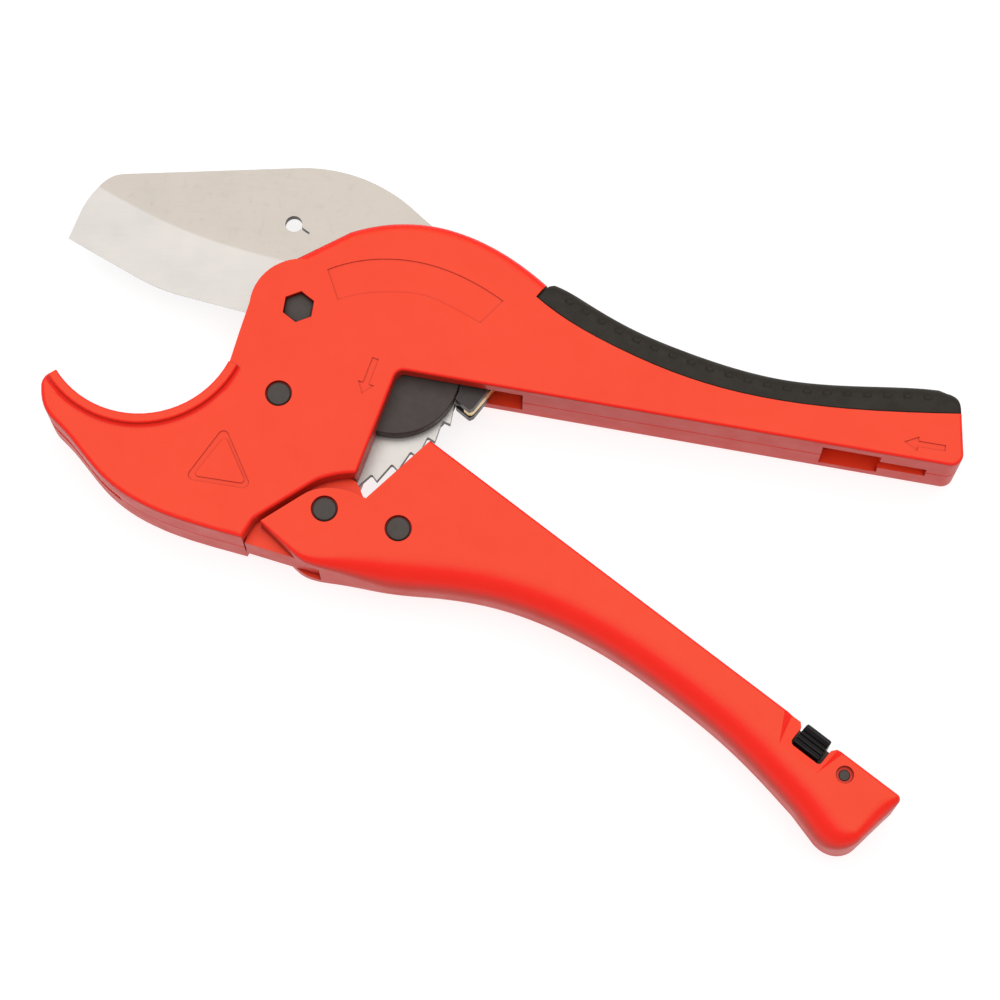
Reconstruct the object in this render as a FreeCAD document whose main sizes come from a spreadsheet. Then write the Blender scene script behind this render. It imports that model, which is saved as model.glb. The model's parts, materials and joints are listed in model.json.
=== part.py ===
"""Ratcheting pipe shears with a hooked jaw, two handles and a handle latch.

The tool lies flat. Plan drawings are made about the blade pivot: X runs to the handle end, Y to the blade's
spine and Z through the thickness, with Z = 0 on the split plane between the two shells. Every sub-part gets
the same Placement, which carries that frame to the origin at the middle of the underside of the whole tool.
"""
import FreeCAD, Part
import math
import os
import Sketcher

from FreeCAD import Placement, Rotation, Vector

doc = FreeCAD.newDocument("pipe_shears")

# ---------------------------------------------------------------------------------------------------------
# Driving dimensions, in millimetres and degrees
# ---------------------------------------------------------------------------------------------------------
DRIVING = [
    ("half_body", 12.5, "half the thickness of shells and lower handle"),
    ("half_tang", 6.25, "half the thickness of the tang that the lower handle straddles"),
    ("half_channel", 6.4, "half the width of the lower handle's channel"),
    ("half_blade", 1.4, "half the blade's thickness"),
    ("half_slot", 1.9, "half the width of the blade slot between the shells"),
    ("seat_radius", 31.5, "pipe seat: takes a 63 mm pipe"),
    ("ridge_width", 3.6, "width of the bearing ridge beside the seat"),
    ("ridge_rise", 2.2, "how far the ridge stands proud of the shell"),
    ("tooth_tip", 60.6, "radius of the blade's ratchet teeth at their tips"),
    ("tooth_root", 57.8, "radius at their roots"),
    ("tooth_pitch", 7.2, "angle from tooth to tooth"),
    ("slot_radius", 61.8, "round part of the blade slot, about the pivot"),
    ("guard_radius", 20.6, "tooth guard discs"),
    ("guard_outer", 6.1, "outer face of a guard disc above the split plane"),
    ("bolt_radius", 3.0, "pivot bolt shank"),
    ("bolt_flats", 8.8, "across flats of bolt head and nut"),
    ("bushing_radius", 5.5, "outside of the pivot bushing"),
    ("running_gap", 0.05, "radial clearance of every turning fit"),
    ("head_radius", 3.8, "round pin and rivet heads"),
    ("head_seat", 4.3, "counterbores round those heads"),
    ("pin_radius", 3.0, "shanks of the handle pivot and drive pawl pins"),
    ("screw_radius", 1.5, "shell screw shanks"),
    ("screw_head", 3.0, "shell screw heads"),
    ("latch_pin_radius", 1.85, "latch pin"),
    ("latch_reach", 28.0, "latch pin to T-bar"),
    ("hang_hole", 2.8, "radius of the hole near the blade's spine"),
    ("web", 5.0, "wall of the lower handle under its channel"),
    ("entry_half", 7.5, "half the width of the opening under the ratchet"),
    ("keyhole_wide", 8.0, "half the width of the latch opening"),
    ("keyhole_narrow", 3.3, "half the width between the latch lips"),
    ("frame_x", -64.92, "shift from the pivot frame to the part's own origin"),
    ("frame_y", 61.11, "shift from the pivot frame to the part's own origin"),
    ("frame_z", 14.7, "shift from the pivot frame to the part's own origin"),
]
dims = doc.addObject("Spreadsheet::Sheet", "dims")
for row, (alias, value, note) in enumerate(DRIVING, start=1):
    dims.set(f"A{row}", alias)
    dims.set(f"B{row}", str(value))
    dims.setAlias(f"B{row}", alias)
    dims.set(f"C{row}", note)
doc.recompute()


def size(alias):
    return float(dims.get(alias))


HALF = size("half_body")
TO_PART_FRAME = Placement(Vector(size("frame_x"), size("frame_y"), size("frame_z")), Rotation())

# ---------------------------------------------------------------------------------------------------------
# Key places in the plan, about the blade pivot
# ---------------------------------------------------------------------------------------------------------
PIVOT = (0.0, 0.0)
SEAT = (-50.0, -5.0)
JAW_RIVET = (-5.8, -29.2)
HANDLE_PIVOT = (9.4, -67.4)
PAWL_PIN = (32.7, -73.8)
STOP_PIN = (63.0, -18.0)
LATCH_PIN = (170.6, -152.3)
GUARD = (31.3, -20.2)
HEX_TURN = 21.0              # how far the bolt's hexagon is turned about its axis
SCREWS = [(-28.0, -62.0), (66.5, 3.0), (113.5, -29.5), (161.5, -40.5)]
HANDLE_TURN = -38.5          # direction of the lower handle's upper edge

UNDERSIDE_SLOPE = -0.1833    # of the upper handle


def underside(x):
    return -24.1 + UNDERSIDE_SLOPE * (x - 48.7)


# ---------------------------------------------------------------------------------------------------------
# Drawing helpers
# ---------------------------------------------------------------------------------------------------------
def polar(radius, angle, centre=PIVOT):
    a = math.radians(angle)
    return (centre[0] + radius * math.cos(a), centre[1] + radius * math.sin(a))


def flat(point):
    return Vector(point[0], point[1], 0)


class Outline:
    """A pen that draws one closed outline of lines, arcs and smooth curves."""

    def __init__(self, start):
        self.start = start
        self.at = start
        self.pieces = []

    def line(self, *points):
        for point in points:
            self.pieces.append(Part.LineSegment(flat(self.at), flat(point)))
            self.at = point
        return self

    def arc(self, through, end):
        self.pieces.append(Part.Arc(flat(self.at), flat(through), flat(end)))
        self.at = end
        return self

    def corner(self, vertex, radius, toward):
        """A straight run to a corner that is rounded by a tangent arc before it heads for the next point."""
        back = (flat(self.at) - flat(vertex)).normalize()
        ahead = (flat(toward) - flat(vertex)).normalize()
        half = back.getAngle(ahead) / 2
        middle = (back + ahead).normalize() * (radius / math.sin(half) - radius)
        start, through, end = (flat(vertex) + v for v in (back * (radius / math.tan(half)), middle,
                                                          ahead * (radius / math.tan(half))))
        self.line((start.x, start.y))
        return self.arc((through.x, through.y), (end.x, end.y))

    def turn(self, centre, angle):
        """An arc about a centre, by a signed angle."""
        radius = math.dist(self.at, centre)
        start = math.degrees(math.atan2(self.at[1] - centre[1], self.at[0] - centre[0]))
        return self.arc(polar(radius, start + angle / 2, centre), polar(radius, start + angle, centre))

    def curve(self, *points, leave=None, arrive=None):
        """A smooth curve through points, with its directions at both ends if they are given."""
        spline = Part.BSplineCurve()
        through = [flat(self.at)] + [flat(p) for p in points]
        if leave is None:
            spline.interpolate(through)
        else:
            spline.interpolate(Points=through, InitialTangent=flat(leave), FinalTangent=flat(arrive))
        self.pieces.append(spline)
        self.at = points[-1]
        return self

    def close(self):
        if math.dist(self.at, self.start) > 1e-6:
            self.line(self.start)
        return self.pieces


def rounded(corners):
    """A closed polygon from (x, y, radius) corners, each rounded by its own tangent arc."""
    cuts = []
    for i, (x, y, radius) in enumerate(corners):
        here = Vector(x, y, 0)
        back = Vector(*corners[i - 1][:2], 0) - here
        ahead = Vector(*corners[(i + 1) % len(corners)][:2], 0) - here
        if radius <= 0:
            cuts.append((here, None, here))
            continue
        back.normalize()
        ahead.normalize()
        half = back.getAngle(ahead) / 2
        reach = radius / math.tan(half)
        middle = (back + ahead).normalize() * (radius / math.sin(half) - radius)
        cuts.append((here + back * reach, here + middle, here + ahead * reach))
    pieces = []
    for i, (start, through, end) in enumerate(cuts):
        if through is not None:
            pieces.append(Part.Arc(start, through, end))
        following = cuts[(i + 1) % len(cuts)][0]
        if (following - end).Length > 1e-6:
            pieces.append(Part.LineSegment(end, following))
    return pieces


def polygon(*points):
    return rounded([(x, y, 0) for x, y in points])


def hexagon(centre, flats):
    return polygon(*[polar(flats / math.sqrt(3), HEX_TURN + 60 * k, centre) for k in range(6)])


def offset_points(points, distance):
    """Points moved sideways, to the left of the way they run."""
    moved = []
    for i, (x, y) in enumerate(points):
        before = points[max(i - 1, 0)]
        after = points[min(i + 1, len(points) - 1)]
        dx, dy = after[0] - before[0], after[1] - before[1]
        length = math.hypot(dx, dy)
        moved.append((x - dy / length * distance, y + dx / length * distance))
    return moved


# ---------------------------------------------------------------------------------------------------------
# Feature helpers
# ---------------------------------------------------------------------------------------------------------
def new_body(name):
    body = doc.addObject("PartDesign::Body", name)
    body.Label = name
    return body


def new_sketch(body, name, pieces=(), level=None, frame=None):
    """A sketch on the body's own XY plane, lifted to a level: a number, or an expression on the sheet."""
    sketch = body.newObject("Sketcher::SketchObject", f"{body.Name}_{name}")
    plane = next(f for f in body.Origin.OriginFeatures if f.Role == "XY_Plane")
    sketch.AttachmentSupport = (plane, [""])
    sketch.MapMode = "FlatFace"
    if frame is not None:
        sketch.AttachmentOffset = frame
    if isinstance(level, str):
        sketch.setExpression("AttachmentOffset.Base.z", level)
    elif level is not None:
        sketch.AttachmentOffset = Placement(Vector(0, 0, level), Rotation())
    for piece in pieces:
        sketch.addGeometry(piece, False)
    return sketch


def add_circle(sketch, centre, radius):
    """A circle fixed by its centre and by a radius that follows the sheet."""
    index = sketch.addGeometry(Part.Circle(flat(centre), Vector(0, 0, 1), 1.0), False)
    sketch.addConstraint(Sketcher.Constraint("DistanceX", -1, 1, index, 3, centre[0]))
    sketch.addConstraint(Sketcher.Constraint("DistanceY", -1, 1, index, 3, centre[1]))
    number = sketch.addConstraint(Sketcher.Constraint("Radius", index, 1.0))
    if isinstance(radius, str):
        sketch.setExpression(f"Constraints[{number}]", radius)
    else:
        sketch.setDatum(number, radius)


def circles(body, name, centres, radius, level=None):
    sketch = new_sketch(body, name, level=level)
    for centre in centres:
        add_circle(sketch, centre, radius)
    return sketch


def feature(body, kind, sketch, length, up, both=False):
    made = body.newObject(f"PartDesign::{kind}", f"{sketch.Name}_{kind.lower()}")
    made.Profile = sketch
    if isinstance(length, str):
        made.setExpression("Length", length)
    else:
        made.Length = length
    if both:
        made.Midplane = True
    else:
        made.Reversed = up if kind == "Pocket" else not up
    sketch.Visibility = False
    doc.recompute()
    return made


def pad(body, sketch, length, up=True, both=False):
    return feature(body, "Pad", sketch, length, up, both)


def cut(body, sketch, length, up=True, both=False):
    before = body.Shape.Volume
    made = feature(body, "Pocket", sketch, length, up, both)
    if body.Shape.Volume > before - 1e-3:
        raise RuntimeError(f"{made.Name} removes nothing")
    return made


def dress(body, kind, amount, name, chosen):
    """A Fillet or Chamfer on every edge of the tip that the chosen test accepts."""
    base = body.Tip
    edges = [f"Edge{i}" for i, edge in enumerate(base.Shape.Edges, start=1) if chosen(edge)]
    if not edges:
        raise RuntimeError(f"{body.Name} {name}: no edge chosen")
    made = body.newObject(f"PartDesign::{kind}", f"{body.Name}_{name}")
    made.Base = (base, edges)
    if kind == "Fillet":
        made.Radius = amount
    else:
        made.Size = amount
    doc.recompute()
    return made


def middle_of(edge):
    return edge.valueAt((edge.FirstParameter + edge.LastParameter) / 2)


def at_level(edge, level):
    return all(abs(p.z - level) < 1e-4 for p in (edge.firstVertex().Point, edge.lastVertex().Point, middle_of(edge)))


# ---------------------------------------------------------------------------------------------------------
# Shells: hooked jaw, body and upper handle, split on Z = 0
# ---------------------------------------------------------------------------------------------------------
SEAT_START, SEAT_END = 211.5, 334.0
DOME_START = (-4.4, 15.6)
GRIP_START = (80.0, 7.9)
GRIP_LINE = [(76.3, 3.4), (87.2, -5.2), (99.8, -12.7), (118.9, -21.8), (137.9, -28.2), (156.9, -32.2), (175.9, -34.5)]
GRIP_GAP = 0.08              # between the shells and the grip
HANDLE_END = 211.5
STEP_FOOT = (-16.5, -76.7)
WINDOW_FOOT = (19.3, -55.7)
WINDOW_CORNER = (31.9, underside(31.9))


def shell_outline():
    seat_top = polar(size("seat_radius"), SEAT_START, SEAT)
    pen = Outline(seat_top)
    pen.turn(SEAT, SEAT_END - SEAT_START)
    pen.curve((-18.4, -7.3), (-15.7, 1.6))
    pen.arc(polar(15.9, 141), DOME_START)
    pen.line((16.2, 26.4))
    pen.curve((29.1, 29.1), (42.0, 28.7), (55.0, 24.9), (68.3, 17.5), GRIP_START)
    pen.line(GRIP_LINE[0])
    pen.curve(*GRIP_LINE[1:], (HANDLE_END, -36.1))
    pen.corner((HANDLE_END, underside(HANDLE_END)), 4.0, WINDOW_CORNER)
    pen.corner(WINDOW_CORNER, 3.0, WINDOW_FOOT)
    pen.line(WINDOW_FOOT)
    pen.curve((11.0, -56.7), (4.8, -59.2), leave=(-1, 0), arrive=(-0.841, -0.5416))
    pen.corner((-12.9, -70.6), 4.0, STEP_FOOT)
    pen.line(STEP_FOOT)
    tip = (seat_top[0], seat_top[1] - 4.8)
    pen.curve((-42.3, -68.5), (-61.7, -56.0), (-74.9, -40.2), polar(4.8, 180, tip), leave=(-0.96, 0.28), arrive=(0, 1))
    pen.turn(tip, -90)
    return pen.close()


def tang_outline():
    radius = 16.6
    pen = Outline((-16.0, -76.85))
    pen.line(polar(radius, 254, HANDLE_PIVOT))
    pen.turn(HANDLE_PIVOT, 74)
    pen.line((22.3, -64.2), (19.3, -57.0), (8.0, -50.0), (-10.0, -60.0))
    return pen.close()


def hook_slot_outline():
    """Where the long part of the blade passes between the two prongs of the hook."""
    return polygon((-8, 12), (-8, -24), (-47, -48.5), (-57.5, -62), (-95, -48), (-95, 12))


def build_shell(name, side):
    """One shell: side +1 rises from the split plane, side -1 goes down from it."""
    up = side > 0
    face = f"{side} * dims.half_body"
    body = new_body(name)
    pad(body, new_sketch(body, "outline", shell_outline()), "dims.half_body", up)

    dome = lambda e: at_level(e, side * HALF) and middle_of(e).y > 12 and middle_of(e).x > -3
    dress(body, "Fillet", 3.4, "dome_rounding", dome)
    rim = lambda e: (at_level(e, side * HALF) and middle_of(e).x < -10 and middle_of(e).y < -20 and
                     middle_of(e).sub(Vector(*SEAT, side * HALF)).Length > size("seat_radius") + 3.0)
    dress(body, "Fillet", 1.4, "hook_rounding", rim)
    low = lambda e: (at_level(e, side * HALF) and middle_of(e).x > -10 and
                     middle_of(e).y < min(-20, underside(middle_of(e).x) + 2))
    dress(body, "Fillet", 1.1, "lower_rounding", low)
    seam = lambda e: (at_level(e, 0) and (middle_of(e).x < -20 or middle_of(e).x > 60) and middle_of(e).y < -20 and
                      middle_of(e).sub(Vector(*SEAT, 0)).Length > size("seat_radius") + 1.0)
    dress(body, "Chamfer", 0.3, "split_line", seam)

    pad(body, new_sketch(body, "tang", tang_outline()), "dims.half_tang", up)

    # blade slot, guard seat and the opening under the ratchet
    cut(body, circles(body, "slot", [PIVOT], "dims.slot_radius"), "dims.half_slot", up)
    cut(body, new_sketch(body, "hook_slot", hook_slot_outline()), "dims.half_slot", up)
    cut(body, circles(body, "guard_seat", [GUARD], "dims.guard_radius + 0.15"), "dims.guard_outer + 0.05", up)
    entry = polygon((33, -32), (33, -10), (72, -13), (72, -34))
    cut(body, new_sketch(body, "entry", entry), "dims.entry_half", up)

    # hollow upper handle, with a solid block round each screw, and the latch keyhole near its end
    for number, (left, right) in enumerate([(79, 107), (120, 155)], start=1):
        hollow = polygon((left, underside(left) + 3.6), (right, underside(right) + 3.6),
                         (right, roof(right)), (left, roof(left)))
        cut(body, new_sketch(body, f"hollow{number}", hollow), "dims.half_body - 3.2", up)
    keyhole = polygon((167.5, -60), (186, -60), (186, -47.7), (201, -47.7), (201, -41), (167.5, -41))
    cut(body, new_sketch(body, "keyhole", keyhole), "dims.keyhole_wide", up)
    lips = polygon((185, -60), (201, -60), (201, -43), (185, -43))
    cut(body, new_sketch(body, "lips", lips), "dims.keyhole_narrow", up)

    # spring room round the handle pivot
    cut(body, circles(body, "spring_room", [HANDLE_PIVOT], 7.6), 2.2, up)
    leg_room = polygon((8, -72.5), (-12.5, -75.5), (-12.5, -70.5), (8, -65.5))
    cut(body, new_sketch(body, "leg_room", leg_room), 2.2, up)
    exit_room = polygon((9.4, -74.5), (28, -90), (36, -78), (14, -61.5))
    cut(body, new_sketch(body, "exit_room", exit_room), 2.2, up)

    # holes
    cut(body, circles(body, "pivot_hole", [PIVOT], "dims.bolt_radius"), "dims.half_body", up)
    recess = new_sketch(body, "pivot_recess", hexagon(PIVOT, size("bolt_flats") + 0.5), level=face)
    cut(body, recess, 5.0, not up)
    cut(body, circles(body, "rivet_hole", [JAW_RIVET], 2.5), "dims.half_body", up)
    cut(body, circles(body, "rivet_seat", [JAW_RIVET], "dims.head_seat", face), 1.6, not up)
    cut(body, circles(body, "handle_hole", [HANDLE_PIVOT], "dims.pin_radius + dims.running_gap"), "dims.half_body", up)
    cut(body, circles(body, "stop_hole", [STOP_PIN], 1.5), 10.5, up)
    if up:
        cut(body, circles(body, "screw_holes", SCREWS, "dims.screw_radius"), 8.5, up)
        add_face_marks(body)
    else:
        cut(body, circles(body, "screw_holes", SCREWS, "dims.screw_radius + 0.2"), "dims.half_body", up)
        cut(body, circles(body, "screw_seats", SCREWS, "dims.screw_head + 0.4", face), 2.6, not up)

    add_ridge(body, side)
    return body


def roof(x):
    """Underside of the wall below the grip, in the hollow handle."""
    for (x1, y1), (x2, y2) in zip(GRIP_LINE, GRIP_LINE[1:]):
        if x1 <= x <= x2:
            return y1 + (y2 - y1) * (x - x1) / (x2 - x1) - 3.6
    raise ValueError("no grip above this place")


def arrow(tail, tip, shaft, width, length):
    """A plain arrow as a closed polygon."""
    run = (flat(tip) - flat(tail)).normalize()
    side = Vector(-run.y, run.x, 0)
    neck = flat(tip) - run * length
    corners = [flat(tail) + side * shaft / 2, neck + side * shaft / 2, neck + side * width / 2, flat(tip),
               neck - side * width / 2, neck - side * shaft / 2, flat(tail) - side * shaft / 2]
    return polygon(*[(c.x, c.y) for c in corners])


def add_face_marks(body):
    """Shallow plain panels and direction arrows in the front face."""
    level = "dims.half_body"
    panel = Outline((9.1, 12.7))
    panel.curve((20.8, 15.9), (30.0, 16.3), (39.2, 15.1), (51.7, 10.7), (65.8, 1.9))
    panel.line((58.4, -5.6))
    panel.curve((48.6, 0.1), (39.3, 4.0), (30.1, 4.9), (21.0, 4.4), (12.6, 2.2))
    cut(body, new_sketch(body, "label_panel", panel.close(), level), 0.3, False)
    border = rounded([(-22.6, -39.8, 1.8), (-35.2, -57.6, 1.8), (-13.4, -61.2, 1.8)])
    border += rounded([(-22.4, -43.4, 1.0), (-32.2, -56.5, 1.0), (-15.5, -59.2, 1.0)])
    cut(body, new_sketch(body, "jaw_panel", border, level), 0.3, False)
    squeeze = arrow((25.0, -17.5), (20.7, -29.4), 2.2, 5.4, 3.8)
    cut(body, new_sketch(body, "squeeze_arrow", squeeze, level), 0.3, False)
    latch = arrow((205.8, -47.6), (192.8, -45.3), 2.0, 4.8, 4.5)
    cut(body, new_sketch(body, "latch_arrow", latch, level), 0.3, False)


def add_ridge(body, side):
    """The bearing ridge: its section is turned about the seat's axis."""
    inner = size("seat_radius")
    crown = inner + size("ridge_width") - 1.2
    top = HALF + size("ridge_rise")
    low = HALF - 1.5
    section = [
        Part.LineSegment(Vector(inner, low, 0), Vector(inner, top - 0.7, 0)),
        Part.Arc(Vector(inner, top - 0.7, 0), Vector(inner + 0.2, top - 0.2, 0), Vector(inner + 0.7, top, 0)),
        Part.LineSegment(Vector(inner + 0.7, top, 0), Vector(crown, top, 0)),
        Part.Arc(Vector(crown, top, 0), Vector(crown + 0.55, top - 0.23, 0), Vector(crown + 0.8, top - 0.8, 0)),
        Part.Arc(Vector(crown + 0.8, top - 0.8, 0), Vector(crown + 1.25, HALF + 0.42, 0),
                 Vector(crown + 2.4, HALF, 0)),
        Part.LineSegment(Vector(crown + 2.4, HALF, 0), Vector(crown + 2.4, low, 0)),
        Part.LineSegment(Vector(crown + 2.4, low, 0), Vector(inner, low, 0)),
    ]
    # local x points away from the seat's axis at the ridge's first end, local y along the thickness
    outward = Vector(math.cos(math.radians(SEAT_START + 1.0)), math.sin(math.radians(SEAT_START + 1.0)), 0)
    upright = Vector(0, 0, side)
    stance = Rotation(outward, upright, outward.cross(upright), "XYZ")
    sketch = new_sketch(body, "ridge", section, frame=Placement(flat(SEAT), stance))
    ridge = body.newObject("PartDesign::Revolution", f"{body.Name}_ridge_turned")
    ridge.Profile = sketch
    ridge.ReferenceAxis = (sketch, ["V_Axis"])
    ridge.Angle = SEAT_END - SEAT_START - 1.5
    ridge.Reversed = side < 0
    before = body.Shape.Volume
    doc.recompute()
    if not 0 < body.Shape.Volume - before < 2000:
        raise RuntimeError("the ridge is not where it should be")


# ---------------------------------------------------------------------------------------------------------
# Grip
# ---------------------------------------------------------------------------------------------------------
def build_grip():
    """Rubber pad along the back of the upper handle, rounded over its outer shoulders."""
    body = new_body("grip_pad")
    foot = (76.6, 3.1)
    pen = Outline(foot)
    pen.line((80.3, 7.6), (82.6, 8.4))
    pen.curve((93.7, 1.8), (108.7, -7.2), (123.7, -13.9), (138.6, -19.3), (155.5, -23.6), (170.0, -25.3),
              (190.0, -26.1), (205.0, -27.2), leave=(0.93, -0.37), arrive=(0.99, -0.14))
    pen.corner((HANDLE_END, -28.3), 4.6, (HANDLE_END, -36.1))
    pen.line((HANDLE_END, -36.1 + GRIP_GAP))
    back = [(x, y + GRIP_GAP) for x, y in GRIP_LINE[1:]]
    back.reverse()
    pen.curve(*back, foot)
    pad(body, new_sketch(body, "outline", pen.close()), "2 * dims.half_body", both=True)
    shoulder = lambda e: (abs(abs(middle_of(e).z) - HALF) < 1e-4 and e.Length > 20 and
                          middle_of(e).y > -25.0)
    dress(body, "Fillet", 4.2, "shoulder", shoulder)
    seam = lambda e: (abs(abs(middle_of(e).z) - HALF) < 1e-4 and e.Length > 100 and
                      abs(middle_of(e).y - (-26.0)) < 12)
    dress(body, "Chamfer", 0.4, "seam", seam)
    return body


# ---------------------------------------------------------------------------------------------------------
# Blade
# ---------------------------------------------------------------------------------------------------------
EDGE_TIP = (-76.6, 28.1)
EDGE_BEND = (-46.6, 10.3)
EDGE_HEEL = (-15.4, 1.7)
BEVEL_WIDTH = 22.0
HUB_RADIUS = 14.5            # the hub keeps its full thickness between the washers
FIRST_TOOTH = -94.6
TEETH = 13
SPINE_RADIUS = 52.3
NOTCH_RADIUS = math.hypot(*JAW_RIVET)
NOTCH_HALF = 5.5
NOTCH_END = -67.0


def blade_outline():
    tip, root, pitch = size("tooth_tip"), size("tooth_root"), size("tooth_pitch")
    pen = Outline(EDGE_TIP)
    pen.line((-72.6, 37.8))
    pen.curve((-67.3, 45.6), (-58.7, 50.2), leave=(0.4, 0.92), arrive=(0.99, 0.03))
    pen.line((0.0, SPINE_RADIUS))
    pen.turn(PIVOT, -45)
    pen.curve((47.3, 26.8), (55.2, 12.0), polar(58.8, -3.0), leave=(0.71, -0.71), arrive=(0.1, -0.99))
    for tooth in reversed(range(TEETH)):
        valley = FIRST_TOOTH + pitch * tooth
        pen.line(polar(tip, valley + 0.5))
        pen.corner(polar(root, valley), 0.6, polar(tip, valley - pitch + 0.5))
    pen.line(polar(tip - 1.0, FIRST_TOOTH - 3.5))
    pen.line(polar(NOTCH_RADIUS + NOTCH_HALF, FIRST_TOOTH - 4.5))
    pen.turn(PIVOT, NOTCH_END - FIRST_TOOTH + 4.5)
    notch_centre = polar(NOTCH_RADIUS, NOTCH_END)
    pen.arc(polar(NOTCH_HALF, NOTCH_END + 90, notch_centre), polar(NOTCH_RADIUS - NOTCH_HALF, NOTCH_END))
    pen.turn(PIVOT, -41)
    pen.line(polar(15.5, -150))
    pen.arc(polar(15.5, -168), EDGE_HEEL)
    pen.corner(EDGE_BEND, 60.0, EDGE_TIP)
    return pen.close()


def cut_bevels(body, start, end, run_in):
    """Two wedges along one run of the cutting edge, from its end nearest the hub out past the tip."""
    along = (flat(end) - flat(start)).normalize()
    outward = Vector(-along.y, along.x, 0)
    edge = flat(start).dot(outward)
    half = size("half_blade")
    wedges = []
    for z in (1, -1):
        wedges += polygon((edge - BEVEL_WIDTH, z * half), (edge, z * 0.06), (edge + 3, z * 0.06),
                          (edge + 3, z * (half + 1)), (edge - BEVEL_WIDTH, z * (half + 1)))
    stance = Rotation(outward, Vector(0, 0, 1), along, "ZXY")
    frame = Placement(along * run_in, stance)
    cut(body, new_sketch(body, f"bevels{len(body.Group)}", wedges, frame=frame), 95.0, up=True)


def build_blade():
    body = new_body("blade")
    pad(body, new_sketch(body, "outline", blade_outline()), "2 * dims.half_blade", both=True)
    cut_bevels(body, EDGE_BEND, EDGE_TIP, 11.0)
    cut_bevels(body, EDGE_HEEL, EDGE_BEND, -8.0)
    pad(body, circles(body, "hub", [PIVOT], HUB_RADIUS), "2 * dims.half_blade", both=True)
    cut(body, circles(body, "bore", [PIVOT], "dims.bushing_radius + dims.running_gap"), 5.0, both=True)
    hang = (-2.8, 32.6)
    cut(body, circles(body, "hang_hole", [hang], "dims.hang_hole"), 5.0, both=True)
    slit = polygon((hang[0] + 1.3, hang[1] - 1.0), (hang[0] + 1.9, hang[1] - 0.5),
                   (hang[0] + 5.3, hang[1] - 3.1), (hang[0] + 4.7, hang[1] - 3.8))
    cut(body, new_sketch(body, "slit", slit), 5.0, both=True)
    return body


# ---------------------------------------------------------------------------------------------------------
# Lower handle
# ---------------------------------------------------------------------------------------------------------
PEAK = (42.7, -44.9)
END_TOP = (188.3, -159.6)
END_LOW = (167.5, -179.1)
BELLY = [(137.1, -142.3), (118.4, -126.2), (99.6, -112.6), (80.6, -102.2), (61.5, -95.4), (42.3, -92.3)]
BELLY_START = (155.4, -162.3)
BELLY_END = (25.0, -90.0)
LOBE_LOW = (0.2, -82.2)
LOBE_TIP = (-10.8, -71.4)


def handle_outline():
    pen = Outline(LOBE_TIP)
    pen.line((2.5, -62.8))
    pen.curve((8.4, -60.7), (15.6, -61.2), (22.4, -64.0), leave=(0.84, 0.54), arrive=(0.9, -0.44))
    pen.line(PEAK)
    pen.corner(END_TOP, 1.6, END_LOW)
    pen.corner(END_LOW, 9.0, BELLY_START)
    pen.line(BELLY_START)
    pen.curve(*BELLY, BELLY_END, leave=(-0.651, 0.759), arrive=(-0.97, 0.245))
    pen.curve((13.0, -86.9), LOBE_LOW, leave=(-0.97, 0.245), arrive=(-0.714, 0.7))
    return pen.close()


def channel_outline():
    """The handle's hollow in plan: open above and round the lobe, walled below and at the far end."""
    inner = offset_points([END_LOW, BELLY_START] + BELLY + [BELLY_END], -size("web"))
    run = (flat(END_TOP) - flat(END_LOW)).normalize()
    inward = Vector(-run.y, run.x, 0) * 4.0
    wall_top = flat(END_TOP) + inward + run * 6
    pen = Outline((-20.0, -50.0))
    pen.line((44.0, -36.0), (wall_top.x, wall_top.y))
    pen.corner((169.6, -171.0), 3.0, inner[1])
    pen.line(inner[1])
    pen.curve(*inner[2:], (7.6, -82.6))
    pen.line((7.6, -96.0), (-20.0, -96.0))
    return pen.close()


def along_handle(u, n):
    """A place u back along the handle from the latch pin and n out towards its upper edge."""
    back = math.radians(180 + HANDLE_TURN)
    out = back - math.pi / 2
    return (LATCH_PIN[0] + u * math.cos(back) + n * math.cos(out),
            LATCH_PIN[1] + u * math.sin(back) + n * math.sin(out))


def along_handle_corners(*corners):
    return rounded([(*along_handle(u, n), radius) for u, n, radius in corners])


# the big rounding under the handle: a place on each run of the lower outline, and the rounding's radius at the
# run's first and last end, so that it fades out along the lobe and is full along the belly
BIG = 9.8
ROUNDING = [((-5.3, -76.8), 2.4, 0.6), ((12.4, -86.8), BIG, 2.4), ((98.0, -111.6), BIG, BIG),
            ((158.9, -166.4), BIG, BIG), ((168.7, -173.7), 4.0, BIG), ((181.4, -165.9), 2.6, 4.0),
            ((115.0, -102.8), 1.0, 1.0)]


def handle_rounding(blank):
    """Part::Fillet with a radius that changes along the lower outline, on both faces."""
    chosen = []
    for index, edge in enumerate(blank.Shape.Edges, start=1):
        middle = middle_of(edge)
        for place, first, last in ROUNDING:
            if abs(abs(middle.z) - HALF) < 1e-4 and math.dist(place, (middle.x, middle.y)) < 1.5:
                chosen.append((index, first, last))
    rounding = doc.addObject("Part::Fillet", "handle_rounding")
    rounding.Base = blank
    rounding.Edges = chosen
    doc.recompute()
    return rounding


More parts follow.
